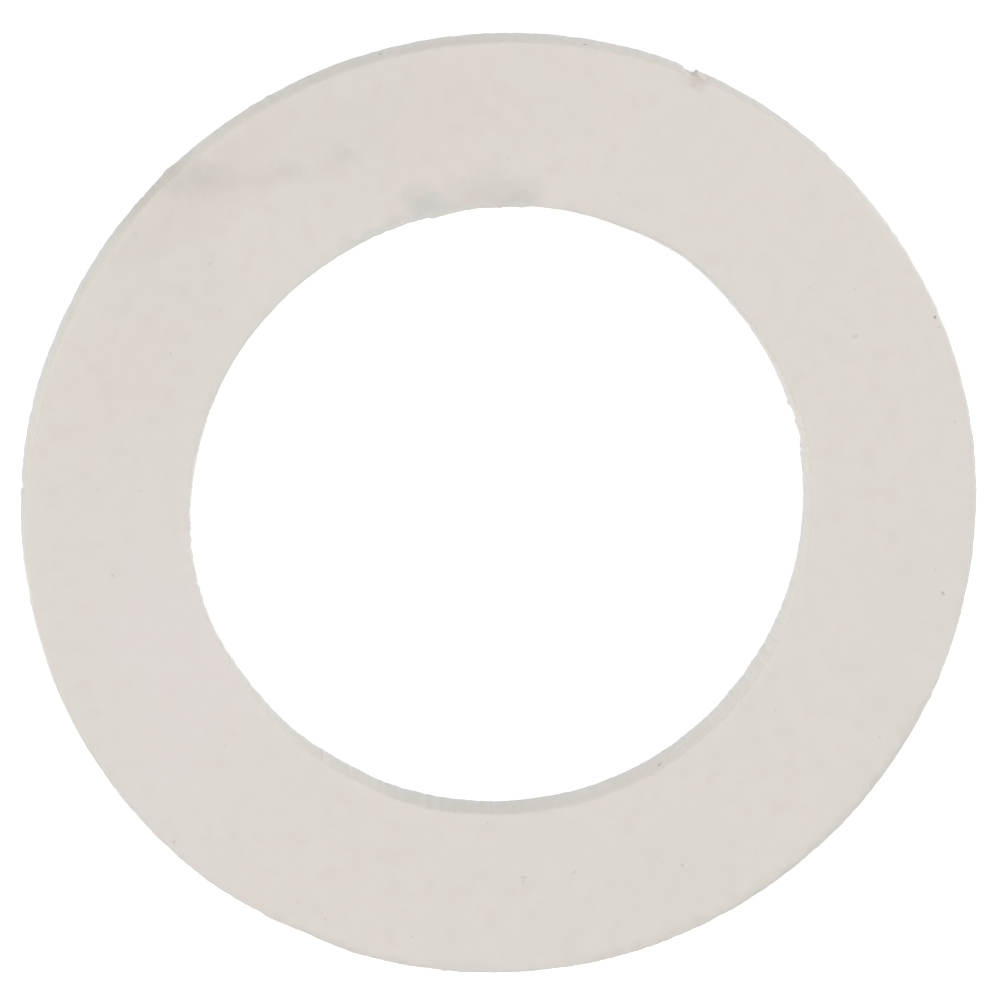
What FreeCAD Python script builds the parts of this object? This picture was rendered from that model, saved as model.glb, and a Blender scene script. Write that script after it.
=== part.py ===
"""A flat union gasket: one ring cut by a die from a sheet of translucent silicone rubber.

The ring lies flat, with its lower face on Z = 0 and its axis on +Z. The blade went in
from the upper face and spread the rubber, so both cut walls stand straight near the
lower face and lean back above it. The places where the cut strayed are features too.
Lengths are in millimetres, and angles in degrees about +Z, counted from +X.
"""

import FreeCAD, Part
import math
import os

import Sketcher

RING = "gasket_ring"

# Each driving size: its name, its value and what it measures
SIZES = (
    ("bore_diameter", 25.5, "opening at the lower face"),
    ("band_width", 7.1, "sealing band at the lower face, from bore to rim"),
    ("thickness", 1.6, "sheet thickness"),
    ("land_height", 0.5, "straight part of each cut wall, above the lower face"),
    ("bore_flare", 0.15, "how far the bore opens from its land to the upper face"),
    ("rim_draft", 0.06, "how far the rim draws in from its land to the upper face"),
    ("edge_radius", 0.08, "round on both edges of the upper face"),
    ("nick_angle", 66.1, "steep side of the nick in the rim"),
    ("nick_depth", 0.17, "nick, from the rim's land towards the axis"),
    ("nick_floor", 0.3, "flat bottom of the nick, along the rim"),
    ("nick_slope", 0.6, "run of the nick's gentle side, along the rim"),
    ("dent_angle", 245.2, "inward corner where two strokes of the rim cut meet"),
    ("dent_depth", 0.18, "dent, from the rim's land towards the axis"),
    ("dent_run_before", 5.2, "length of the dent at angles below its corner"),
    ("dent_run_after", 3.6, "length of the dent at angles above its corner"),
    ("tag_angle", 103.4, "step in the bore where its cut began and ended"),
    ("tag_depth", 0.14, "tag of rubber, from the bore's mouth towards the axis"),
    ("tag_run", 3.4, "length of the tag, at angles below its step"),
    ("relief_angle", 207.0, "step where the wide stretch of the bore ends"),
    ("relief_depth", 0.17, "wide stretch, from the bore's land away from the axis"),
    ("relief_run", 10.0, "length of the wide stretch, at angles below its step"),
)

# The radii of the two cut walls, as formulas of the driving sizes
BORE_LAND = "(Dimensions.bore_diameter / 2)"
BORE_MOUTH = "(Dimensions.bore_diameter / 2 + Dimensions.bore_flare)"
RIM_LAND = "(Dimensions.bore_diameter / 2 + Dimensions.band_width)"
RIM_EDGE = "(Dimensions.bore_diameter / 2 + Dimensions.band_width - Dimensions.rim_draft)"

# A stray cut leaves its wall towards the axis or away from it, and runs back to the
# wall at the angles below its corner or above it
INWARD, OUTWARD = -1, 1
BELOW, ABOVE = -1, 1

# A mark's profile is closed on the far side of the wall, this share of its depth past it
PAST_WALL = 0.5

# The ends of a sketch element, and the sketch's own origin and axis
START, END, CENTRE = 1, 2, 3
ORIGIN = (-1, 1)
X_AXIS = -1

Z = FreeCAD.Vector(0, 0, 1)
RIGHT_ANGLE = math.pi / 2


def fill_sheet(document):
    """The spreadsheet that drives every feature, one size to a row."""
    sheet = document.addObject("Spreadsheet::Sheet", "Dimensions")
    for row, (name, size, meaning) in enumerate(SIZES, start=1):
        sheet.set(f"A{row}", name)
        sheet.set(f"B{row}", str(size))
        sheet.set(f"C{row}", meaning)
        sheet.setAlias(f"B{row}", name)
    document.recompute()


def new_sketch(body, name, role, angle=None):
    """A sketch on one of the body's origin planes, turned about +Z by an angle of the sheet."""
    sketch = body.newObject("Sketcher::SketchObject", name)
    plane = next(plane for plane in body.Origin.OriginFeatures if plane.Role == role)
    sketch.AttachmentSupport = [(plane, "")]
    sketch.MapMode = "FlatFace"
    if angle:
        degrees = sketch.evalExpression(angle)
        sketch.AttachmentOffset = FreeCAD.Placement(point(0, 0), FreeCAD.Rotation(Z, degrees))
        sketch.setExpression("AttachmentOffset.Rotation.Angle", angle)
    return sketch


def point(x, y):
    return FreeCAD.Vector(x, y, 0)


def add_line(sketch, start, end):
    return sketch.addGeometry(Part.LineSegment(start, end), False)


def add_arc(sketch, centre, radius, first_angle, last_angle):
    """An arc counted counter-clockwise, with its angles in radians."""
    circle = Part.Circle(centre, Z, radius)
    return sketch.addGeometry(Part.ArcOfCircle(circle, first_angle, last_angle), False)


def relate(sketch, kind, *where):
    sketch.addConstraint(Sketcher.Constraint(kind, *where))


def measure(sketch, name, formula, kind, *where):
    """Give a sketch dimension its name, and tie it to the sheet by a formula."""
    size = sketch.evalExpression(formula)
    index = sketch.addConstraint(Sketcher.Constraint(kind, *where, size))
    sketch.renameConstraint(index, name)
    sketch.setExpression(f"Constraints.{name}", formula)


def draw_section(sketch):
    """Half of the ring's section, with the radius along the sketch's X and the height along its Y."""
    bore, mouth, rim, edge = map(sketch.evalExpression, (BORE_LAND, BORE_MOUTH, RIM_LAND, RIM_EDGE))
    height = sketch.evalExpression("Dimensions.thickness")
    land = sketch.evalExpression("Dimensions.land_height")
    fillet = sketch.evalExpression("Dimensions.edge_radius")
    shoulder = height - fillet

    lower_face = add_line(sketch, point(bore, 0), point(rim, 0))
    rim_land = add_line(sketch, point(rim, 0), point(rim, land))
    rim_draft = add_line(sketch, point(rim, land), point(edge, shoulder))
    rim_round = add_arc(sketch, point(edge - fillet, shoulder), fillet, 0, RIGHT_ANGLE)
    upper_face = add_line(sketch, point(edge - fillet, height), point(mouth + fillet, height))
    bore_round = add_arc(sketch, point(mouth + fillet, shoulder), fillet, RIGHT_ANGLE, math.pi)
    bore_flare = add_line(sketch, point(mouth, shoulder), point(bore, land))
    bore_land = add_line(sketch, point(bore, land), point(bore, 0))

    relate(sketch, "Coincident", lower_face, END, rim_land, START)
    relate(sketch, "Coincident", rim_land, END, rim_draft, START)
    relate(sketch, "Tangent", rim_draft, END, rim_round, START)
    relate(sketch, "Tangent", rim_round, END, upper_face, START)
    relate(sketch, "Tangent", upper_face, END, bore_round, START)
    relate(sketch, "Tangent", bore_round, END, bore_flare, START)
    relate(sketch, "Coincident", bore_flare, END, bore_land, START)
    relate(sketch, "Coincident", bore_land, END, lower_face, START)
    relate(sketch, "PointOnObject", lower_face, START, X_AXIS)
    relate(sketch, "Horizontal", lower_face)
    relate(sketch, "Horizontal", upper_face)
    relate(sketch, "Vertical", rim_land)
    relate(sketch, "Vertical", bore_land)
    relate(sketch, "Equal", rim_round, bore_round)

    measure(sketch, "bore_land_radius", BORE_LAND, "DistanceX", *ORIGIN, bore_land, END)
    measure(sketch, "rim_land_radius", RIM_LAND, "DistanceX", *ORIGIN, rim_land, START)
    measure(sketch, "sheet", "Dimensions.thickness", "DistanceY", *ORIGIN, upper_face, START)
    measure(sketch, "rim_land", "Dimensions.land_height", "DistanceY", *ORIGIN, rim_land, END)
    measure(sketch, "bore_land", "Dimensions.land_height", "DistanceY", *ORIGIN, bore_land, START)
    measure(sketch, "edge_round", "Dimensions.edge_radius", "Radius", rim_round)

    # The sharp corners that the two rounds replace
    walls = (("rim", rim_draft, edge, RIM_EDGE), ("bore", bore_flare, mouth, BORE_MOUTH))
    for name, wall, radius, formula in walls:
        corner = sketch.addGeometry(Part.Point(point(radius, height)), True)
        relate(sketch, "PointOnObject", corner, START, wall)
        relate(sketch, "PointOnObject", corner, START, upper_face)
        measure(sketch, f"{name}_corner_radius", formula, "DistanceX", *ORIGIN, corner, START)


def draw_stroke(sketch, name, wall, depth, run, past, leaning, side):
    """One stroke of a cut that strayed: an arc of the wall's own radius, its centre moved.

    It stands off the wall by the depth where it meets the sketch's X axis, crosses the
    wall a run further along, and goes on until it lies past the wall on the other side.
    Returns the arc, its end on the axis, its far end, and the far end's angle about the
    ring's axis.
    """
    radius, offset, length, spare = map(sketch.evalExpression, (wall, depth, run, past))
    shift = offset * radius / length
    on_axis = radius + leaning * offset
    centre = point(on_axis - math.sqrt(radius**2 - shift**2), -side * leaning * shift)
    far_radius = radius - leaning * spare
    far_angle = side * (1 + spare / offset) * length / radius
    far = point(far_radius * math.cos(far_angle), far_radius * math.sin(far_angle)) - centre
    near = point(on_axis, 0) - centre
    angles = sorted((math.atan2(near.y, near.x), math.atan2(far.y, far.x)))
    arc = add_arc(sketch, centre, radius, *angles)
    near_end, far_end = (START, END) if side == ABOVE else (END, START)

    sign = "+" if leaning == OUTWARD else "-"
    span = (arc, CENTRE, *ORIGIN) if side == leaning else (*ORIGIN, arc, CENTRE)
    relate(sketch, "PointOnObject", arc, near_end, X_AXIS)
    measure(sketch, f"{name}_radius", wall, "Radius", arc)
    measure(sketch, f"{name}_depth", f"{wall} {sign} {depth}", "DistanceX", *ORIGIN, arc, near_end)
    measure(sketch, f"{name}_shift", f"{depth} * {wall} / {run}", "DistanceY", *span)
    return arc, near_end, far_end, far_angle


def draw_closing_arc(sketch, wall, past, leaning, first_angle, last_angle):
    """An arc about the ring's axis that closes a mark's profile on the wall's other side."""
    sign = "-" if leaning == OUTWARD else "+"
    formula = f"{wall} {sign} {past}"
    arc = add_arc(sketch, point(0, 0), sketch.evalExpression(formula), first_angle, last_angle)
    relate(sketch, "Coincident", arc, CENTRE, *ORIGIN)
    measure(sketch, "closing_radius", formula, "Radius", arc)
    return arc


def draw_stepped_mark(sketch, wall, depth, run, past, leaning):
    """A stroke that ends in a step: it strays at the angles below the step."""
    stroke, near_end, far_end, far_angle = draw_stroke(
        sketch, "stroke", wall, depth, run, past, leaning, BELOW
    )
    closing = draw_closing_arc(sketch, wall, past, leaning, far_angle, 0)
    step = add_line(sketch, sketch.getPoint(stroke, near_end), sketch.getPoint(closing, END))
    relate(sketch, "Coincident", stroke, near_end, step, START)
    relate(sketch, "Coincident", step, END, closing, END)
    relate(sketch, "Coincident", closing, START, stroke, far_end)
    relate(sketch, "Horizontal", step)


def draw_relief(sketch):
    """The stretch where the bore's cut ran wide, closed in the open bore."""
    depth = "Dimensions.relief_depth"
    past = f"{PAST_WALL} * {depth}"
    draw_stepped_mark(sketch, BORE_LAND, depth, "Dimensions.relief_run", past, OUTWARD)


def draw_tag(sketch):
    """The rubber left in the flare where the bore's cut ended inside its own start.

    It is closed under the upper face, past the round of the bore's edge.
    """
    past = "2 * Dimensions.edge_radius"
    draw_stepped_mark(
        sketch, BORE_MOUTH, "Dimensions.tag_depth", "Dimensions.tag_run", past, INWARD
    )


def draw_dent(sketch):
    """Two inward strokes of the rim cut, which meet in a corner on the sketch's X axis."""
    depth = "Dimensions.dent_depth"
    past = f"{PAST_WALL} * {depth}"
    before, _, before_end, first_angle = draw_stroke(
        sketch, "before", RIM_LAND, depth, "Dimensions.dent_run_before", past, INWARD, BELOW
    )
    after, _, after_end, last_angle = draw_stroke(
        sketch, "after", RIM_LAND, depth, "Dimensions.dent_run_after", past, INWARD, ABOVE
    )
    closing = draw_closing_arc(sketch, RIM_LAND, past, INWARD, first_angle, last_angle)
    relate(sketch, "Coincident", closing, START, before, before_end)
    relate(sketch, "Coincident", closing, END, after, after_end)


def draw_nick(sketch):
    """A steep side on the sketch's X axis, a flat floor along Y and a gentle way out."""
    floor_radius = f"{RIM_LAND} - Dimensions.nick_depth"
    outside_radius = f"{RIM_LAND} + {PAST_WALL} * Dimensions.nick_depth"
    mouth = f"Dimensions.nick_floor + {1 + PAST_WALL} * Dimensions.nick_slope"
    inside, outside = map(sketch.evalExpression, (floor_radius, outside_radius))
    floor_end = point(inside, sketch.evalExpression("Dimensions.nick_floor"))
    slope_end = point(outside, sketch.evalExpression(mouth))

    floor = add_line(sketch, point(inside, 0), floor_end)
    slope = add_line(sketch, floor_end, slope_end)
    closing = add_line(sketch, slope_end, point(outside, 0))
    steep = add_line(sketch, point(outside, 0), point(inside, 0))
    relate(sketch, "Coincident", floor, END, slope, START)
    relate(sketch, "Coincident", slope, END, closing, START)
    relate(sketch, "Coincident", closing, END, steep, START)
    relate(sketch, "Coincident", steep, END, floor, START)
    relate(sketch, "Vertical", floor)
    relate(sketch, "Vertical", closing)
    relate(sketch, "Horizontal", steep)
    relate(sketch, "PointOnObject", steep, START, X_AXIS)
    measure(sketch, "floor_radius", floor_radius, "DistanceX", *ORIGIN, floor, START)
    measure(sketch, "outside_radius", outside_radius, "DistanceX", *ORIGIN, closing, END)
    measure(sketch, "floor_length", "Dimensions.nick_floor", "DistanceY", *ORIGIN, floor, END)
    measure(sketch, "mouth_length", mouth, "DistanceY", *ORIGIN, closing, START)


def revolve_section(body):
    """The plain ring, from its section turned about +Z."""
    section = new_sketch(body, "section", "XZ_Plane")
    draw_section(section)
    ring = body.newObject("PartDesign::Revolution", "ring")
    ring.Profile = section
    ring.ReferenceAxis = (section, ["V_Axis"])
    ring.Angle = 360
    body.Document.recompute()


def cut_mark(body, name, draw):
    """Cut a mark through the whole thickness, and make sure that it took rubber away."""
    sketch = new_sketch(body, f"{name}_outline", "XY_Plane", f"Dimensions.{name}_angle")
    draw(sketch)
    before = body.Shape.Volume
    pocket = body.newObject("PartDesign::Pocket", name)
    pocket.Profile = sketch
    pocket.Type = "ThroughAll"
    pocket.Reversed = True
    body.Document.recompute()
    if not body.Shape.Volume < before:
        raise RuntimeError(f"{name} cuts nothing")


def add_mark(body, name, draw):
    """Add a mark over the whole thickness, and make sure that it left rubber behind."""
    sketch = new_sketch(body, f"{name}_outline", "XY_Plane", f"Dimensions.{name}_angle")
    draw(sketch)
    before = body.Shape.Volume
    pad = body.newObject("PartDesign::Pad", name)
    pad.Profile = sketch
    pad.setExpression("Length", "Dimensions.thickness")
    body.Document.recompute()
    if not body.Shape.Volume > before:
        raise RuntimeError(f"{name} adds nothing")


def build_ring(document):
    """The gasket: the ring, and then each mark that the cutting left on it."""
    body = document.addObject("PartDesign::Body", RING)
    body.Label = RING
    body.Placement = FreeCAD.Placement()
    revolve_section(body)
    cut_mark(body, "relief", draw_relief)
    add_mark(body, "tag", draw_tag)
    cut_mark(body, "dent", draw_dent)
    cut_mark(body, "nick", draw_nick)
    return body


def check(document, body):
    """Stop before anything is written if a feature failed or the ring isn't one sound solid."""
    failed = [part.Name for part in document.Objects if {"Invalid", "Error"} & set(part.State)]
    if failed:
        raise RuntimeError(f"these features failed: {', '.join(failed)}")
    loose = [
        part.Name
        for part in document.Objects
        if part.isDerivedFrom("Sketcher::SketchObject") and not part.FullyConstrained
    ]
    if loose:
        raise RuntimeError(f"these sketches aren't fully constrained: {', '.join(loose)}")
    shape = body.Shape
    if shape.isNull() or not shape.isValid() or len(shape.Solids) != 1:
        raise RuntimeError(f"{body.Label} isn't one valid solid")


document = FreeCAD.newDocument("UnionGasket")
fill_sheet(document)
gasket = build_ring(document)
document.recompute()
check(document, gasket)

os.makedirs("parts", exist_ok=True)
gasket.Shape.exportStep(f"parts/{gasket.Label}.step")

box = gasket.Shape.optimalBoundingBox()
print(f"{gasket.Label}: {box.XLength:.2f} x {box.YLength:.2f} x {box.ZLength:.2f} mm")
print(f"volume {gasket.Shape.Volume:.1f} cubic mm, {len(gasket.Shape.Faces)} faces")
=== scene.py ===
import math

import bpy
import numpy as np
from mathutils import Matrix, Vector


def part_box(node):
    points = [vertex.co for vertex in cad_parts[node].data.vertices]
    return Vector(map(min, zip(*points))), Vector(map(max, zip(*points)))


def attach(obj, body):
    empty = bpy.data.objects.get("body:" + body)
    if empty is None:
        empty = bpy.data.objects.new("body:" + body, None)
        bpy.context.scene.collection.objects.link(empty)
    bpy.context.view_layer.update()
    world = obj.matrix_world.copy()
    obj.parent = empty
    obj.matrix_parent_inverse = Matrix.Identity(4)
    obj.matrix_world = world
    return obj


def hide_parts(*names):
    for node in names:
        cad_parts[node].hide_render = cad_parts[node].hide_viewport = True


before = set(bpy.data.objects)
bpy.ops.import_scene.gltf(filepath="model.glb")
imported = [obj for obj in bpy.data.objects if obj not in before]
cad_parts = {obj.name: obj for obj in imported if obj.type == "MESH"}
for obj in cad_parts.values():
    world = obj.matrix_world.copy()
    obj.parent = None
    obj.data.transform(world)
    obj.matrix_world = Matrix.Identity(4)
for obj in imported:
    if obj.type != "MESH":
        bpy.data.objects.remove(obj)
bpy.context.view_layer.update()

# The union gasket of the photograph: a flat ring of milky silicone rubber on a white table.
# Sizes and places are in millimetres until they reach Blender, in the frame's axes: Z up from
# the gasket's lower face, X and Y to the photograph's right and up. Angles are in degrees
# about Z, counted from X.

MM = 0.001
SEED = 27

cad_low, cad_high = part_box("gasket_ring")

# The ring, from the frame's box and the sizes of its section
THICKNESS = (cad_high.z - cad_low.z) / MM
RIM_LAND = (cad_high.x - cad_low.x) / 2 / MM
BAND_WIDTH = 7.1
BORE_LAND = RIM_LAND - BAND_WIDTH
LAND_HEIGHT = 0.5
BORE_FLARE = 0.15
RIM_DRAFT = 0.06
EDGE_ROUND = 0.12
BURR_ROUND = 0.03

# How finely the mesh follows the cut: its steps round the ring and over the section, the width
# of a step in the wall, and the smallest angle between two slices
SLICES = 1800
ARC_STEPS = 6
FACE_ROWS = 6
WALL_ROWS = 4
STEP_WIDTH = 0.012
CLOSEST_SLICES = 0.01

# The bore was punched a little off the rim's centre: how far, and towards which angle
BORE_OFF_CENTRE = 0.05
BORE_OFF_TOWARDS = 280.0

# Where the cuts strayed from their circles. Each stray has the angle of its corner, how far it
# stands away from the axis (or towards it, if negative), and its lengths along the edge: the
# run at smaller angles, the flat past the corner and the run at larger angles. The cuts go
# straight down through the sheet, the drifts move a whole wall, and the rest move one edge.
RIM_CUTS = {
    "dent": (245.0, -0.17, 5.2, 0.0, 3.6),
    "nick": (65.88, -0.135, 0.035, 0.50, 0.075),
    "deepest part of the nick": (66.2, -0.027, 0.1, 0.12, 0.12),
    "start of the nick": (67.6, -0.036, 0.05, 0.06, 0.06),
    "low stretch past the nick": (65.2, -0.035, 0.35, 0.1, 0.1),
}
RIM_DRIFTS = {
    "slack at the upper right": (30.0, -0.022, 1.5, 3.0, 1.5),
    "full stretch round the nick": (57.0, 0.045, 3.5, 2.8, 5.0),
    "slack past the top": (102.0, -0.018, 1.0, 1.5, 1.0),
    "slack at the upper left": (118.0, -0.03, 3.0, 4.0, 2.0),
    "slack past the nib": (140.0, -0.028, 2.5, 4.5, 3.0),
    "full stretch at the left": (166.0, 0.032, 2.5, 2.5, 1.0),
    "slack at the left": (184.0, -0.02, 1.0, 2.5, 1.5),
    "full stretch at the lower left": (204.0, 0.035, 3.0, 0.0, 4.0),
    "slack before the dent": (235.0, -0.05, 1.2, 1.2, 0.8),
    "slack past the dent": (254.0, -0.022, 1.0, 2.8, 1.0),
    "full stretch at the lower right": (282.0, 0.038, 4.0, 11.8, 1.7),
    "slack at the right": (346.0, -0.035, 5.0, 4.0, 3.0),
}
RIM_LOWER_STRAYS = {
    "lip of the nick": (65.8, 0.03, 0.5, 0.0, 0.04),
    "nib": (133.5, 0.05, 0.45, 0.1, 0.35),
    "straight stretch past the nib": (138.0, -0.035, 1.4, 0.0, 0.08),
    "small tear at the left": (176.8, -0.05, 0.6, 0.0, 0.06),
}
RIM_UPPER_STRAYS = {
    "upright stretch at the upper left": (121.0, 0.04, 2.0, 7.2, 1.0),
}
BORE_CUTS = {
    "wide stretch": (200.0, 0.165, 7.0, 0.3, 3.0),
}
BORE_DRIFTS = {
    "torn stretch at the right": (11.2, 0.07, 0.3, 0.9, 0.25),
    "slack past the torn stretch": (18.5, -0.03, 0.6, 3.4, 1.0),
    "wide stretch at the upper right": (53.5, 0.11, 2.8, 0.4, 2.6),
    "slack past the tag": (104.0, -0.03, 1.5, 4.5, 2.0),
    "wide stretch at the left": (168.0, 0.045, 3.5, 4.5, 3.0),
    "slack at the lower left": (234.5, -0.07, 1.3, 1.8, 1.2),
    "slack before the bottom": (250.0, -0.038, 0.7, 3.4, 1.4),
    "slack at the bottom": (276.0, -0.025, 2.0, 0.6, 1.2),
    "slack at the lower right": (317.0, -0.018, 1.0, 7.4, 0.5),
    "slack at the right": (320.0, -0.055, 1.5, 10.5, 0.5),
}
BORE_UPPER_STRAYS = {
    "wide stretch at the upper right": (57.0, 0.055, 1.2, 6.2, 0.3),
    "first sweep of the tag": (90.8, -0.03, 1.2, 0.0, 0.9),
    "tag": (102.8, -0.09, 2.0, 0.0, 0.2),
    "wide stretch at the left": (165.0, 0.06, 7.0, 6.0, 3.0),
    "wide stretch at the lower left": (250.0, 0.05, 0.8, 2.4, 0.8),
}
RIM_MARKS = {**RIM_CUTS, **RIM_DRIFTS, **RIM_LOWER_STRAYS, **RIM_UPPER_STRAYS}
BORE_MARKS = {**BORE_CUTS, **BORE_DRIFTS, **BORE_UPPER_STRAYS}

# Where the rim's upper edge is rolled over: the middle, the reach to each side, and how wide
# and how deep the roll is there
EDGE_ROLLS = {
    "lower right": (316.0, 26.0, 0.36, 0.12),
    "lower left": (252.0, 14.0, 0.16, 0.05),
}

# The slow and the fine waver of a hand-fed cut: its waves per turn, how far they reach, how fast
# they fade as they get shorter, and the weakest and the strongest that a wave is drawn
SLOW_WAVES = range(4, 26)
SLOW_REACH = 0.0072
SLOW_FADE = 0.5
FINE_WAVES = range(40, 420, 5)
FINE_REACH = 0.008
FINE_FADE = 0.6
WAVE_STRENGTHS = (0.4, 1.4)

# Where the blade tore the rubber: the middle, the reach to each side, and how many times
# rougher the edge is there
RIM_TEARS = {
    "upper right": (32.0, 26.0, 0.8),
    "left": (180.0, 16.0, 0.8),
}
BORE_TEARS = {
    "right": (14.0, 14.0, 3.0),
    "left": (200.0, 26.0, 1.8),
    "lower right": (335.0, 22.0, 0.3),
}


def punched_off_centre(angles):
    """What the bore's own centre adds to its radius at each angle."""
    return BORE_OFF_CENTRE * np.cos(np.radians(angles - BORE_OFF_TOWARDS))


def arc_from(angles, corner, radius):
    """How far along the edge each angle lies past a corner; negative before it."""
    return radius * np.radians((angles - corner + 180) % 360 - 180)


def stray_offset(angles, strays, radius):
    """What these strays add to an edge's radius at each angle."""
    offset = np.zeros_like(angles)
    for corner, depth, before, flat, after in strays.values():
        along = arc_from(angles, corner, radius)
        before = max(before, STEP_WIDTH)
        after = max(after, STEP_WIDTH)
        offset += depth * np.interp(along, (-before, 0, flat, flat + after), (0, 1, 1, 0))
    return offset


def window(angles, middle, reach):
    """1 at the middle of a stretch of the edge, 0 from its ends on."""
    away = np.abs((angles - middle + 180) % 360 - 180) / reach
    return np.cos(away.clip(0, 1) * math.pi / 2) ** 2


def wave_sum(angles, waves, reach, fade, generator):
    """Waves of this typical reach, the short ones fainter, that come out the same on each run."""
    line = np.zeros_like(angles)
    power = 0.0
    for wave in waves:
        strength, phase = generator.uniform(*WAVE_STRENGTHS), generator.uniform(0, math.tau)
        share = (waves[0] / wave) ** fade
        line += share * strength * np.cos(wave * np.radians(angles) + phase)
        power += share ** 2
    return line * reach * math.sqrt(2 / power)


def waver(angles, tears, generator):
    """The uneven line of the cut, rougher where the rubber tore."""
    roughness = 1 + sum(more * window(angles, *stretch) for *stretch, more in tears.values())
    slow = wave_sum(angles, SLOW_WAVES, SLOW_REACH, SLOW_FADE, generator)
    return slow + roughness * wave_sum(angles, FINE_WAVES, FINE_REACH, FINE_FADE, generator)


def edge_roll(angles):
    """The width and the depth of the rounding on the rim's upper edge."""
    width = np.full_like(angles, EDGE_ROUND)
    depth = np.full_like(angles, EDGE_ROUND)
    for middle, reach, roll_width, roll_depth in EDGE_ROLLS.values():
        share = window(angles, middle, reach)
        width += roll_width * share
        depth += roll_depth * share
    return width, depth


def slice_angles():
    """Even steps round the ring, with a pair of close ones at each corner of the cut."""
    even = np.arange(SLICES) * 360 / SLICES
    corners = []
    for strays, radius in ((RIM_MARKS, RIM_LAND), (BORE_MARKS, BORE_LAND)):
        step = math.degrees(STEP_WIDTH / radius)
        for corner, _, _, flat, _ in strays.values():
            end = corner + math.degrees(flat / radius)
            corners += [corner - step, corner, end, end + step]
    angles = np.sort(np.concatenate([even, np.array(corners) % 360]))
    keep = np.diff(angles, append=angles[0] + 360) > CLOSEST_SLICES
    return angles[keep]


def ring_rows(angles):
    """The ring's section at each angle, as rows of (radius, height, how much it is a cut wall).

    It runs out along the lower face, up the rim, in along the upper face and down the bore.
    """
    generator = np.random.default_rng(SEED)
    rim_drift = waver(angles, RIM_TEARS, generator)
    rim_drift += stray_offset(angles, RIM_DRIFTS, RIM_LAND)
    bore_drift = waver(angles, BORE_TEARS, generator) + punched_off_centre(angles)
    bore_drift += stray_offset(angles, BORE_DRIFTS, BORE_LAND)
    rim_cut = RIM_LAND + stray_offset(angles, RIM_CUTS, RIM_LAND)
    bore_cut = BORE_LAND + stray_offset(angles, BORE_CUTS, BORE_LAND)
    mouth = BORE_LAND + BORE_FLARE + stray_offset(angles, BORE_UPPER_STRAYS, BORE_LAND)
    rim_lower = rim_cut + stray_offset(angles, RIM_LOWER_STRAYS, RIM_LAND) + rim_drift
    shoulder = RIM_LAND - RIM_DRAFT + stray_offset(angles, RIM_UPPER_STRAYS, RIM_LAND)
    rim_upper = np.minimum(shoulder, rim_cut) + rim_drift
    bore_lower = bore_cut + bore_drift
    bore_upper = np.maximum(mouth, bore_cut) + bore_drift

    # The waver stays within the box of the solid
    turn = np.radians(angles)
    box_reach = RIM_LAND / np.maximum(np.abs(np.cos(turn)), np.abs(np.sin(turn)))
    rim_lower = np.minimum(rim_lower, box_reach)

    roll_width, roll_depth = edge_roll(angles)
    level = np.zeros_like(angles)
    rows = []

    def add_row(radius, height, cut):
        rows.append((radius, level + height, level + cut))

    def add_face(start, end, height):
        support = STEP_WIDTH * np.sign(end - start)
        for share in np.linspace(0, 1, FACE_ROWS):
            add_row(start + support + (end - start - 2 * support) * share, height, 0)

    # The lower face and the rim's lower edge
    add_face(bore_lower + BURR_ROUND, rim_lower - BURR_ROUND, 0)
    for turn in np.linspace(0, math.pi / 2, ARC_STEPS // 2 + 1):
        outward, upward = math.sin(turn), 1 - math.cos(turn)
        add_row(rim_lower - BURR_ROUND * (1 - outward), BURR_ROUND * upward, outward)

    # The rim: its land, its draft and the rounded upper edge
    add_row(rim_lower, LAND_HEIGHT, 1)
    for share in np.linspace(0, 1, WALL_ROWS + 1)[1:-1]:
        height = LAND_HEIGHT + (THICKNESS - roll_depth - LAND_HEIGHT) * share
        add_row(rim_lower + (rim_upper - rim_lower) * share, height, 1)
    for turn in np.linspace(0, math.pi / 2, ARC_STEPS + 1):
        inward, upward = 1 - math.cos(turn), math.sin(turn)
        height = THICKNESS - roll_depth * (1 - upward)
        add_row(rim_upper - roll_width * inward, height, 1 - upward)

    # The upper face and the bore's rounded edge
    add_face(rim_upper - roll_width, bore_upper + EDGE_ROUND, THICKNESS)
    for turn in np.linspace(0, math.pi / 2, ARC_STEPS + 1):
        inward, downward = math.sin(turn), 1 - math.cos(turn)
        height = THICKNESS - EDGE_ROUND * downward
        add_row(bore_upper + EDGE_ROUND * (1 - inward), height, downward)

    # The bore: its flare, its land and the lower edge
    for share in np.linspace(0, 1, WALL_ROWS + 1)[1:]:
        height = THICKNESS - EDGE_ROUND + (LAND_HEIGHT - THICKNESS + EDGE_ROUND) * share
        add_row(bore_upper + (bore_lower - bore_upper) * share, height, 1)
    for turn in np.linspace(0, math.pi / 2, ARC_STEPS // 2 + 1):
        outward, upward = 1 - math.cos(turn), 1 - math.sin(turn)
        add_row(bore_lower + BURR_ROUND * outward, BURR_ROUND * upward, 1 - outward)
    return rows


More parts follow.
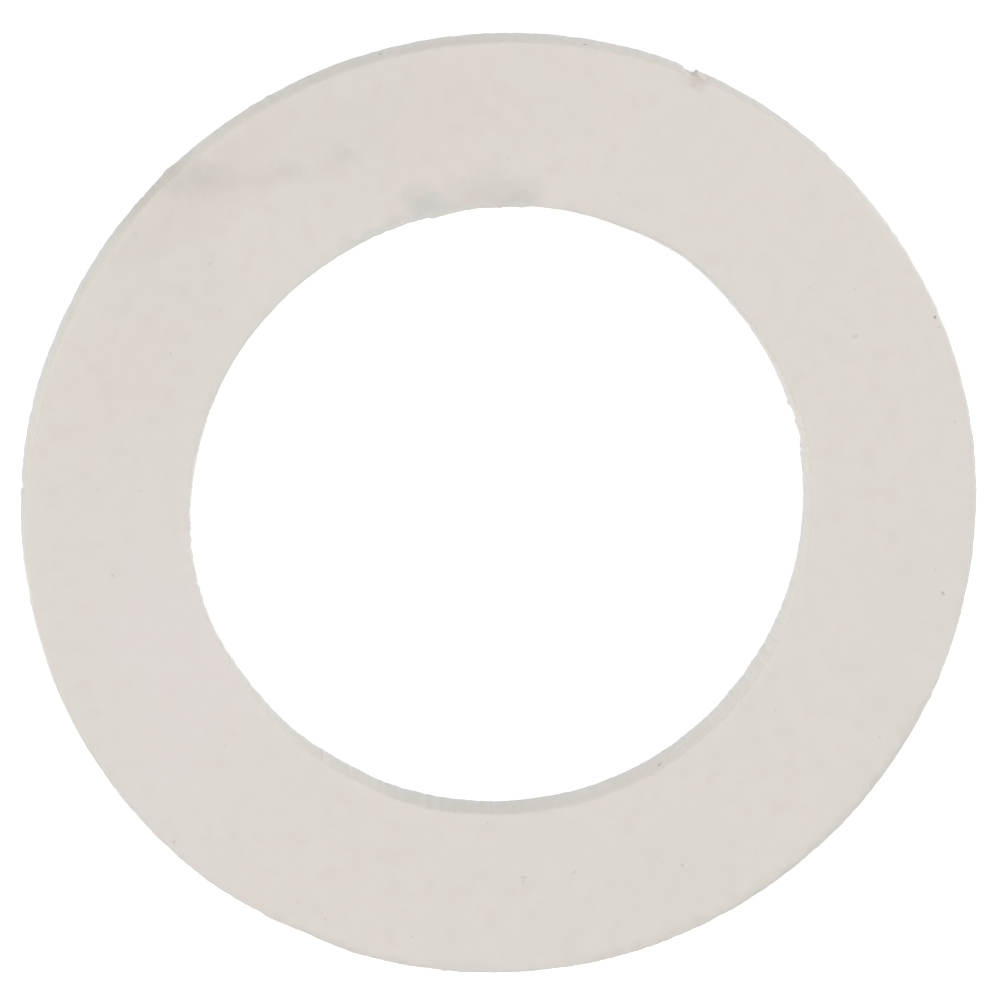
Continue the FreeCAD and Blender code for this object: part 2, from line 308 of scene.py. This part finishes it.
def make_ring():
    """The gasket as one closed mesh, with the share of cut wall kept at each point."""
    angles = slice_angles()
    rows = ring_rows(angles)
    turn = np.radians(angles)
    points = np.empty((len(rows), len(angles), 3))
    cut = np.empty((len(rows), len(angles)))
    for index, (radius, height, wall) in enumerate(rows):
        points[index] = np.stack([radius * np.cos(turn), radius * np.sin(turn), height], axis=-1)
        cut[index] = wall

    numbers = np.arange(cut.size).reshape(cut.shape)
    above = np.roll(numbers, -1, axis=0)
    quads = np.stack(
        [numbers, np.roll(numbers, -1, axis=1), np.roll(above, -1, axis=1), above], axis=-1
    )
    mesh = bpy.data.meshes.new("silicone_ring")
    mesh.from_pydata((points * MM).reshape(-1, 3).tolist(), [], quads.reshape(-1, 4).tolist())
    mesh.shade_smooth()
    walls = mesh.attributes.new("cut", "FLOAT", "POINT")
    walls.data.foreach_set("value", cut.ravel().astype(np.float32))
    ring = bpy.data.objects.new("silicone_ring", mesh)
    bpy.context.scene.collection.objects.link(ring)
    return ring


# Node helpers. An input is a number, a tuple or another node's output.


def add_node(tree, kind, inputs=(), **settings):
    """A node with these settings, its inputs given in order or by name."""
    node = tree.nodes.new(kind)
    for name, value in settings.items():
        setattr(node, name, value)
    pairs = inputs.items() if isinstance(inputs, dict) else enumerate(inputs)
    for key, value in pairs:
        if isinstance(value, bpy.types.NodeSocket):
            tree.links.new(value, node.inputs[key])
        else:
            node.inputs[key].default_value = value
    return node


def calculate(tree, operation, *inputs):
    return add_node(tree, "ShaderNodeMath", inputs, operation=operation).outputs[0]


def calculate_vector(tree, operation, *inputs):
    node = add_node(tree, "ShaderNodeVectorMath", inputs, operation=operation)
    plain = operation in ("LENGTH", "DISTANCE", "DOT_PRODUCT")
    return node.outputs["Value" if plain else "Vector"]


def noise(tree, place, scale, detail):
    """Noise about 0.5, with this many waves to a millimetre."""
    inputs = {"Vector": place, "Scale": scale, "Detail": detail}
    return add_node(tree, "ShaderNodeTexNoise", inputs).outputs["Fac"]


def three_noises(tree, place, scale, detail):
    """Three noises of one scale that differ from each other."""
    tones = noise(tree, place, scale, detail).node.outputs["Color"]
    return add_node(tree, "ShaderNodeSeparateColor", [tones]).outputs[:3]


def ramp(tree, value, start, end, low=0.0, high=1.0):
    """An even, soft change from low to high while the value goes from start to end."""
    inputs = {"Value": value, "From Min": start, "From Max": end, "To Min": low, "To Max": high}
    node = add_node(tree, "ShaderNodeMapRange", inputs, interpolation_type="SMOOTHSTEP")
    return node.outputs["Result"]


def blend(tree, share, first, second):
    """From the first colour to the second."""
    node = tree.nodes.new("ShaderNodeMix")
    node.data_type = "RGBA"
    for socket, value in zip((node.inputs[0], node.inputs[6], node.inputs[7]), (share, first, second)):
        if isinstance(value, bpy.types.NodeSocket):
            tree.links.new(value, socket)
        else:
            socket.default_value = value
    return node.outputs[2]


def colour(red, green, blue):
    return (red, green, blue, 1.0)


# The rubber's colours
MILK = colour(0.694, 0.641, 0.588)
WARM_MILK = colour(0.720, 0.650, 0.635)
COOL_MILK = colour(0.685, 0.641, 0.584)
# The cut walls: partly their own more neutral colour, partly painted light that lifts them, most of all
# at the foot
WALL_MILK_WITH_PAINTED_LIGHT = colour(0.736, 0.686, 0.626)
WALL_FOOT_MILK_WITH_PAINTED_LIGHT = colour(0.745, 0.716, 0.684)
# Painted shade: the cool, darker look along the upper face's edges
EDGE_SHADE_MILK = colour(0.40, 0.50, 0.62)
# Grey for the smudges and for the painted shade on the walls
GREY_DIRT_AND_SHADE = colour(0.45, 0.46, 0.45)
BROWN_DIRT = colour(0.56, 0.45, 0.35)
# Dirt and painted shade in the rolled edge and on the walls
EDGE_DIRT_AND_SHADE = colour(0.40, 0.35, 0.26)
DARK_DUST = colour(0.12, 0.10, 0.07)

# The clouds, the flecks and the grain: how many waves each has to a millimetre, how strongly the
# flecks show, and the grain's waves up a wall as a share of those along it
CLOUD_WAVES = 0.16
FLECK_WAVES = 1.2
GRAIN_WAVES = 2.5
FLECK_SHARE = 0.09
GRAIN_DOWN = 0.12

# How high the sheet's orange peel and the streaks of the cut stand
PEEL_HEIGHT = 0.008
STREAK_HEIGHT = 0.009

# The least and the most roughness of the sheet, and what a cut wall and a grey smudge add
SATIN = (0.38, 0.48)
CUT_ROUGHER = 0.12
SMUDGE_ROUGHER = 0.30

# How the rubber bends light, what share of it spreads inside, how far that reaches, and the
# shares of that reach for red, green and blue
REFRACTION = 1.41
SPREAD_SHARE = 0.3
SPREAD_REACH = 0.5
SPREAD_BY_COLOUR = (1.0, 0.9, 0.8)

# The warmer patch at the lower left: its middle, its reach and how strongly it shows
WARM_MIDDLE = (-13.0, -7.0, 0.0)
WARM_REACH = 11.0
WARM_SHARE = 0.6

# A rounded edge takes on the walls' colour from this share of cut wall on, and the painted light
# that makes the foot of a wall paler fades out up to this height
WALL_FROM = 0.35
FOOT_HEIGHT = 1.3

# How far below the upper face the smudges and the painted shade and dirt in the rolled edge end,
# and how far below it they are full
SMUDGES_END = 0.12
SMUDGES_FULL = 0.02
ROLL_SHADE_ENDS = 0.4
ROLL_SHADE_FULL = 0.2

# How far the noise pulls the borders of smudges and stains about
SMEAR = 1.4

# The share of its reach within which a mark, a grain and the warmer patch is at its strongest
MARK_CORE = 0.1
GRAIN_CORE = 0.2
WARM_CORE = 0.2

# Smudges on the upper face: the middle, half the length and half the width, the turn, and
# how strongly each shows
GREY_SMUDGES = {
    "thumb mark near the rim": ((-12.4, 14.4), 1.95, 1.0, 4.0, 0.38),
    "its way to the rim": ((-13.5, 14.4), 1.4, 1.1, -47.0, 0.34),
    "middle of the chain": ((-8.85, 14.65), 1.1, 0.7, -20.0, 0.16),
    "arch of the chain": ((-6.6, 15.3), 1.2, 0.55, -30.0, 0.16),
    "mark by the tag": ((-3.2, 13.1), 1.6, 1.0, -15.0, 0.44),
    "its foot along the bore": ((-2.0, 12.95), 1.8, 0.5, 10.0, 0.24),
    "mark at the top of the bore": ((0.35, 13.12), 1.5, 0.65, 0.0, 0.38),
    "shade over that mark": ((-0.4, 13.5), 2.8, 1.3, 3.0, 0.22),
    "film along the bore": ((-4.9, 12.1), 3.0, 0.42, 23.0, 0.22),
    "soot by the nick": ((8.12, 18.35), 0.9, 0.75, 65.0, 0.43),
    "shade before the nick": ((7.52, 18.5), 0.6, 0.4, -25.0, 0.20),
}
BROWN_SMUDGES = {
    "scuff by the nick": ((8.12, 18.35), 0.9, 0.8, 65.0, 0.56),
    "stain along the chain": ((-10.3, 14.2), 3.4, 1.0, 8.0, 0.26),
    "foot of the arch": ((-6.9, 14.8), 1.8, 0.9, 30.0, 0.20),
    "shade along the upper left rim": ((-12.14, 13.96), 8.5, 2.2, 41.0, 0.20),
    "stain at the top of the bore": ((-0.3, 13.3), 3.0, 1.1, 3.0, 0.15),
    "shade over the top": ((-5.0, 16.5), 13.0, 5.0, 12.0, 0.09),
    "shade over the upper left": ((-14.5, 7.5), 8.0, 4.5, 62.0, 0.06),
}

# Painted shade on the cut walls, in grey and in brown, and a stain round the nib
GREY_WALL_SHADES = {
    "shade at the left, upper part": ((-18.04, 8.03), 8.0, 2.0, 66.0, 0.19),
    "shade at the left, lower part": ((-19.6, 2.41), 7.0, 2.0, 83.0, 0.18),
    "shade at the upper right": ((11.3, 16.2), 5.0, 2.0, -35.0, 0.09),
    "shade past the nick": ((8.65, 17.9), 0.7, 0.45, 65.0, 0.14),
    "shade in the bore, lower left": ((-2.9, -12.5), 6.3, 3.0, -13.0, 0.14),
}
BROWN_WALL_SHADES_AND_STAINS = {
    "shade at the top": ((-2.6, 19.4), 3.6, 2.0, 8.0, 0.08),
    "shade at the upper left": ((-10.0, 17.0), 9.0, 2.4, 31.0, 0.10),
    "stain round the nib": ((-14.2, 13.8), 3.6, 1.6, 47.0, 0.35),
    "shade in the bore, lower right": ((6.4, -11.1), 4.5, 2.0, 30.0, 0.04),
}

# The upper face has painted shade, cool and dark, along the rim on this side and along the bore on
# the other side: the angle of the side, the cosines of the turn from it where the shade starts and
# is full, how far in it reaches, and how strongly it shows
EDGE_SHADE_TOWARDS = 292.0
EDGE_SHADE_STARTS = -0.2
EDGE_SHADE_FULL = 0.5
EDGE_SHADE_AT_RIM = 0.6
EDGE_SHADE_AT_BORE = 0.45
EDGE_SHADE_SHARE = 0.10

# Painted shade and dirt in the rolled edge, on the lower side away from the lamps: its middle, its
# reach to each side, how far it comes in, and how strongly it shows
ROLL_SHADE_AND_DIRT = {
    "lower right": (306.0, 32.0, 0.6, 0.13),
    "lower left": (254.0, 18.0, 0.6, 0.08),
}

# Dust on the upper face: the place, half the length and half the width, the turn, and how
# strongly it shows
FIBRES = {
    "fibre at the right": ((18.39, -3.92), 0.18, 0.07, -50.0, 0.44),
    "streak by the fibre": ((18.05, -2.91), 0.18, 0.07, 80.0, 0.10),
    "flock at the upper right": ((14.65, 7.11), 0.25, 0.14, 15.0, 0.16),
    "flock at the bottom": ((0.88, -15.67), 0.24, 0.09, 0.0, 0.16),
    "stem of that flock": ((0.88, -15.87), 0.22, 0.08, 90.0, 0.16),
    "streak at the bottom": ((3.00, -15.51), 0.24, 0.09, 45.0, 0.15),
    "flock at the lower left": ((-8.55, -16.50), 0.19, 0.10, 35.0, 0.12),
    "streak at the lower left": ((-13.70, -13.79), 0.16, 0.08, 45.0, 0.22),
    "streak at the right edge": ((18.13, 7.42), 0.16, 0.07, 22.0, 0.16),
    "streak at the right": ((18.83, 3.38), 0.12, 0.08, 10.0, 0.16),
}

# Round grains: the place, the radius and how strongly it shows
GRAINS = {
    "at the right edge": ((17.96, 7.84), 0.09, 0.60),
    "pair at the upper right, left": ((12.74, 9.20), 0.13, 0.06),
    "pair at the upper right, right": ((14.61, 9.10), 0.11, 0.10),
    "at the lower right": ((11.38, -8.75), 0.10, 0.14),
    "second at the lower right": ((15.77, -10.02), 0.11, 0.13),
    "at the bottom right": ((7.53, -15.32), 0.11, 0.20),
    "its neighbour": ((6.68, -15.21), 0.12, 0.05),
    "at the bottom left": ((-3.76, -18.12), 0.10, 0.13),
    "at the bottom left edge": ((-7.41, -17.26), 0.10, 0.11),
    "at the lower left": ((-11.58, -9.72), 0.09, 0.12),
    "at the left": ((-16.17, -2.35), 0.11, 0.20),
    "pair at the left, left": ((-16.73, 1.33), 0.12, 0.07),
    "pair at the left, right": ((-14.97, 1.22), 0.10, 0.08),
    "at the upper left": ((-13.71, 6.97), 0.10, 0.13),
    "second at the upper left": ((-11.65, 8.78), 0.11, 0.08),
    "third at the upper left": ((-12.06, 10.73), 0.13, 0.11),
    "near the upper left rim": ((-15.17, 12.02), 0.22, 0.04),
    "above the bore": ((0.26, 14.84), 0.09, 0.12),
    "above the bore, right": ((4.80, 13.31), 0.10, 0.09),
    "under the bore": ((-0.65, -13.31), 0.10, 0.12),
}

# Grains that stick to the walls
WALL_GRAINS = {
    "in the bore": ((6.61, -11.09, 1.20), 0.13, 0.5),
    "on the rim at the top": ((3.43, 19.51, 1.20), 0.11, 0.75),
    "on the rim at the upper left": ((-4.95, 19.20, 0.68), 0.11, 0.70),
}


def all_marks(tree, place, marks):
    """Where any of these long marks shows: full inside its core, gone at its edge."""
    total = 0.0
    for middle, half_length, half_width, turn, strength in marks.values():
        away = calculate_vector(tree, "SUBTRACT", place, (*middle, THICKNESS))
        turned = add_node(
            tree,
            "ShaderNodeVectorRotate",
            {"Vector": away, "Angle": math.radians(-turn)},
            rotation_type="Z_AXIS",
        ).outputs[0]
        scaled = calculate_vector(tree, "MULTIPLY", turned, (1 / half_length, 1 / half_width, 0.0))
        distance = calculate_vector(tree, "LENGTH", scaled)
        mark = ramp(tree, distance, MARK_CORE, 1.0, strength, 0.0)
        total = calculate(tree, "MAXIMUM", total, mark)
    return total


def all_grains(tree, place, total):
    """The marks so far and the round grains."""
    on_face = [((*middle, THICKNESS), radius, strength) for middle, radius, strength in GRAINS.values()]
    for middle, radius, strength in (*on_face, *WALL_GRAINS.values()):
        distance = calculate_vector(tree, "DISTANCE", place, middle)
        grain = ramp(tree, distance, GRAIN_CORE * radius, radius, strength, 0.0)
        total = calculate(tree, "MAXIMUM", total, grain)
    return total


def round_the_axis(tree, place, towards):
    """A point's distance from the axis, and the cosine of its turn away from an angle."""
    flat = calculate_vector(tree, "MULTIPLY", place, (1.0, 1.0, 0.0))
    from_axis = calculate_vector(tree, "LENGTH", flat)
    direction = (math.cos(math.radians(towards)), math.sin(math.radians(towards)), 0.0)
    forward = calculate_vector(tree, "DOT_PRODUCT", flat, direction)
    return from_axis, calculate(tree, "DIVIDE", forward, from_axis)


def painted_edge_shade(tree, place):
    """How strongly the painted edge shade shows: 1 at the edges that have it, 0 well inside."""
    from_axis, cosine = round_the_axis(tree, place, EDGE_SHADE_TOWARDS)
    mouth = BORE_LAND + BORE_FLARE
    near_rim = ramp(tree, from_axis, RIM_LAND - EDGE_SHADE_AT_RIM, RIM_LAND)
    near_rim = calculate(tree, "MULTIPLY", near_rim, ramp(tree, cosine, EDGE_SHADE_STARTS, EDGE_SHADE_FULL))
    near_bore = ramp(tree, from_axis, mouth + EDGE_SHADE_AT_BORE, mouth)
    near_bore = calculate(tree, "MULTIPLY", near_bore, ramp(tree, cosine, -EDGE_SHADE_STARTS, -EDGE_SHADE_FULL))
    return calculate(tree, "MAXIMUM", near_rim, near_bore)


def roll_shade_and_dirt(tree, place):
    """How strongly the painted shade and dirt in the rolled edge show: along the rim, between two
    angles.
    """
    total = 0.0
    for middle, reach, width, strength in ROLL_SHADE_AND_DIRT.values():
        from_axis, cosine = round_the_axis(tree, place, middle)
        end = math.cos(math.radians(reach))
        along = ramp(tree, cosine, end, (1 + end) / 2)
        across = ramp(tree, from_axis, RIM_LAND - width, RIM_LAND, 0.0, strength)
        total = calculate(tree, "MAXIMUM", total, calculate(tree, "MULTIPLY", along, across))
    return total


def silicone():
    """Milky silicone: cloudy colour, dirt on its upper face, painted shade along its edges and walls, a
    drier look and partly painted light where it was cut.
    """
    material = bpy.data.materials.new("silicone")
    material.use_nodes = True
    tree = material.node_tree
    tree.nodes.clear()

    metres = add_node(tree, "ShaderNodeTexCoord").outputs["Object"]
    place = calculate_vector(tree, "SCALE", metres)
    place.node.inputs["Scale"].default_value = 1 / MM
    cut = add_node(tree, "ShaderNodeAttribute", attribute_name="cut").outputs["Fac"]
    height = add_node(tree, "ShaderNodeSeparateXYZ", [place]).outputs["Z"]
    on_top = ramp(tree, height, THICKNESS - SMUDGES_END, THICKNESS - SMUDGES_FULL)
    on_roll = ramp(tree, height, THICKNESS - ROLL_SHADE_ENDS, THICKNESS - ROLL_SHADE_FULL)

    # The cloudy body
    cloud = noise(tree, place, CLOUD_WAVES, 2.0)
    from_warm = calculate_vector(tree, "DISTANCE", place, WARM_MIDDLE)
    warmth = ramp(tree, from_warm, WARM_REACH, WARM_CORE * WARM_REACH)
    warmth = calculate(tree, "MULTIPLY", warmth, ramp(tree, cloud, 0.25, 0.6, 0.4, 1.0))
    body = blend(tree, ramp(tree, cloud, 0.4, 0.7), MILK, COOL_MILK)
    body = blend(tree, calculate(tree, "MULTIPLY", warmth, WARM_SHARE), body, WARM_MILK)
    fleck, ragged_x, ragged_y = three_noises(tree, place, FLECK_WAVES, 3.0)
    body = blend(tree, ramp(tree, fleck, 0.4, 0.75, 0.0, FLECK_SHARE), body, BROWN_DIRT)
    # The walls' lighter colour is partly their own and partly painted light, palest at the foot
    wall = blend(tree, ramp(tree, height, 0.0, FOOT_HEIGHT), WALL_FOOT_MILK_WITH_PAINTED_LIGHT, WALL_MILK_WITH_PAINTED_LIGHT)
    body = blend(tree, ramp(tree, cut, WALL_FROM, 1.0), body, wall)

    # Smudges with ragged borders, painted shade on the walls, and dust
    shift = add_node(tree, "ShaderNodeCombineXYZ", [ragged_x, ragged_y]).outputs[0]
    shift = calculate_vector(tree, "SUBTRACT", shift, (0.5, 0.5, 0.0))
    smeared = calculate_vector(tree, "MULTIPLY_ADD", shift, (SMEAR, SMEAR, 0.0), place)
    grey = calculate(tree, "MULTIPLY", all_marks(tree, smeared, GREY_SMUDGES), on_top)
    brown = calculate(tree, "MULTIPLY", all_marks(tree, smeared, BROWN_SMUDGES), on_top)
    # Painted shade on the cut walls, and the stain round the nib
    grey_wall = calculate(tree, "MULTIPLY", all_marks(tree, smeared, GREY_WALL_SHADES), cut)
    brown_wall = calculate(tree, "MULTIPLY", all_marks(tree, smeared, BROWN_WALL_SHADES_AND_STAINS), cut)
    dust = all_grains(tree, place, all_marks(tree, place, FIBRES))
    body = blend(tree, calculate(tree, "MAXIMUM", grey, grey_wall), body, GREY_DIRT_AND_SHADE)
    body = blend(tree, brown, body, BROWN_DIRT)
    body = blend(tree, dust, body, DARK_DUST)

    # Painted shade along the upper face's edges, and painted shade and dirt in the rolled edge
    edge_shade = calculate(tree, "MULTIPLY", painted_edge_shade(tree, place), EDGE_SHADE_SHARE)
    edge_shade = calculate(tree, "MULTIPLY", edge_shade, calculate(tree, "SUBTRACT", 1.0, cut))
    body = blend(tree, edge_shade, body, EDGE_SHADE_MILK)
    stretched = calculate_vector(tree, "MULTIPLY", place, (1.0, 1.0, GRAIN_DOWN))
    grain = noise(tree, stretched, GRAIN_WAVES, 1.0)
    rolled = calculate(tree, "MULTIPLY", roll_shade_and_dirt(tree, smeared), on_roll)
    rolled = calculate(tree, "MULTIPLY", rolled, ramp(tree, grain, 0.35, 0.65, 0.6, 1.2))
    body = blend(tree, calculate(tree, "MAXIMUM", rolled, brown_wall), body, EDGE_DIRT_AND_SHADE)

    # Satin, a little drier where it was cut or touched
    roughness = ramp(tree, cloud, 0.3, 0.7, *SATIN)
    roughness = calculate(tree, "MULTIPLY_ADD", cut, CUT_ROUGHER, roughness)
    roughness = calculate(tree, "MULTIPLY_ADD", grey, SMUDGE_ROUGHER, roughness)

    # The grain is a slight orange peel on the faces and streaks up the cut walls
    relief = calculate(tree, "MULTIPLY", grain, ramp(tree, cut, 0.0, 1.0, PEEL_HEIGHT, STREAK_HEIGHT))
    bump = add_node(tree, "ShaderNodeBump", {"Height": relief, "Strength": 1.0, "Distance": MM})

    shader = add_node(
        tree,
        "ShaderNodeBsdfPrincipled",
        {
            "Base Color": body,
            "Roughness": roughness,
            "IOR": REFRACTION,
            "Normal": bump.outputs["Normal"],
            "Subsurface Weight": SPREAD_SHARE,
            "Subsurface Radius": SPREAD_BY_COLOUR,
            "Subsurface Scale": SPREAD_REACH * MM,
        },
    )
    shader.subsurface_method = "BURLEY"
    output = add_node(tree, "ShaderNodeOutputMaterial", [shader.outputs[0]])
    output.is_active_output = True
    return material


# The table, the light and the camera, in metres unless a comment says otherwise

# The white table: its width, the gap under the ring, how much it glows where it is seen itself,
# and what share of light it throws back; then how strongly the sky lights the ring
FLOOR_WIDTH = 4.0
FLOOR_GAP = 0.00002
FLOOR_GLOW_SEEN = 0.50
FLOOR_ALBEDO = 0.80
SKY_LEVEL = 0.61
WHITE = colour(1.0, 1.0, 1.0)

# The soft lamps on both sides: where each stands, their power in watts, width and colour
LAMPS = {
    "left_lamp": Vector((-0.437, 0.008, 0.36)),
    "right_lamp": Vector((0.433, 0.061, 0.36)),
}
LAMP_POWER = 1.16
LAMP_WIDTH = 0.30
LAMP_COLOUR = (0.95, 1.0, 1.03)

# The photograph's view, from the edges of the ring: how far the camera leans from straight
# above and towards which angle, how far off it is, its lens and sensor in millimetres, and
# where the ring's middle shows in the photograph's pixels
LEAN = 14.4
LEAN_TOWARDS = 112.3
DISTANCE = 0.5176
LENS = 450.0
SENSOR = 36.0
NEAREST_SEEN = 0.01
PHOTO_WIDTH = 1000.0
MIDDLE_SHOWS = (500.69, 507.02)


def seen_itself(tree):
    """1 for the rays that see the background itself, straight or in a reflection."""
    path = add_node(tree, "ShaderNodeLightPath").outputs
    return calculate(tree, "MAXIMUM", path["Is Camera Ray"], path["Is Glossy Ray"])


def make_floor():
    """A white table that keeps the gasket's shadow."""
    half = FLOOR_WIDTH / 2
    corners = [(-half, -half), (half, -half), (half, half), (-half, half)]
    mesh = bpy.data.meshes.new("table")
    mesh.from_pydata([(x, y, -FLOOR_GAP) for x, y in corners], [], [(0, 1, 2, 3)])
    floor = bpy.data.objects.new("table", mesh)
    bpy.context.scene.collection.objects.link(floor)
    material = bpy.data.materials.new("table")
    material.use_nodes = True
    tree = material.node_tree
    tree.nodes.clear()
    matt = add_node(tree, "ShaderNodeBsdfDiffuse", {"Color": colour(*[FLOOR_ALBEDO] * 3)})
    glow_level = calculate(tree, "MULTIPLY", seen_itself(tree), FLOOR_GLOW_SEEN)
    glow = add_node(tree, "ShaderNodeEmission", {"Color": WHITE, "Strength": glow_level})
    both = add_node(tree, "ShaderNodeAddShader", [matt.outputs[0], glow.outputs[0]])
    add_node(tree, "ShaderNodeOutputMaterial", [both.outputs[0]])
    mesh.materials.append(material)


def make_light():
    """A pale sky, white where it is seen, and a soft lamp on each side."""
    world = bpy.data.worlds.new("studio")
    world.use_nodes = True
    tree = world.node_tree
    tree.nodes.clear()
    level = ramp(tree, seen_itself(tree), 0.0, 1.0, SKY_LEVEL, 1.0)
    sky = add_node(tree, "ShaderNodeBackground", {"Color": WHITE, "Strength": level})
    add_node(tree, "ShaderNodeOutputWorld", [sky.outputs[0]])
    bpy.context.scene.world = world

    for name, place in LAMPS.items():
        lamp = bpy.data.lights.new(name, "AREA")
        lamp.shape = "DISK"
        lamp.size = LAMP_WIDTH
        lamp.energy = LAMP_POWER
        lamp.color = LAMP_COLOUR
        holder = bpy.data.objects.new(name, lamp)
        holder.location = place
        holder.rotation_euler = place.to_track_quat("Z", "Y").to_euler()
        bpy.context.scene.collection.objects.link(holder)


def make_camera():
    """The photograph's view: from nearly straight above, with Y up."""
    lean, towards = math.radians(LEAN), math.radians(LEAN_TOWARDS)
    back = Vector(
        (
            math.sin(lean) * math.cos(towards),
            math.sin(lean) * math.sin(towards),
            math.cos(lean),
        )
    )
    right = Vector((0, 1, 0)).cross(back).normalized()
    up = back.cross(right)
    data = bpy.data.cameras.new("camera")
    data.sensor_width = SENSOR
    data.lens = LENS
    data.shift_x = (PHOTO_WIDTH / 2 - MIDDLE_SHOWS[0]) / PHOTO_WIDTH
    data.shift_y = (MIDDLE_SHOWS[1] - PHOTO_WIDTH / 2) / PHOTO_WIDTH
    data.clip_start = NEAREST_SEEN
    camera = bpy.data.objects.new("camera", data)
    middle = Vector((0, 0, THICKNESS / 2 * MM))
    turn = Matrix((right, up, back)).transposed().to_4x4()
    camera.matrix_world = Matrix.Translation(middle + back * DISTANCE) @ turn
    bpy.context.scene.collection.objects.link(camera)
    bpy.context.scene.camera = camera


ring = make_ring()
ring.data.materials.append(silicone())
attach(ring, "root")
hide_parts("gasket_ring")
make_floor()
make_light()
make_camera()
bpy.context.scene.view_settings.view_transform = "Standard"
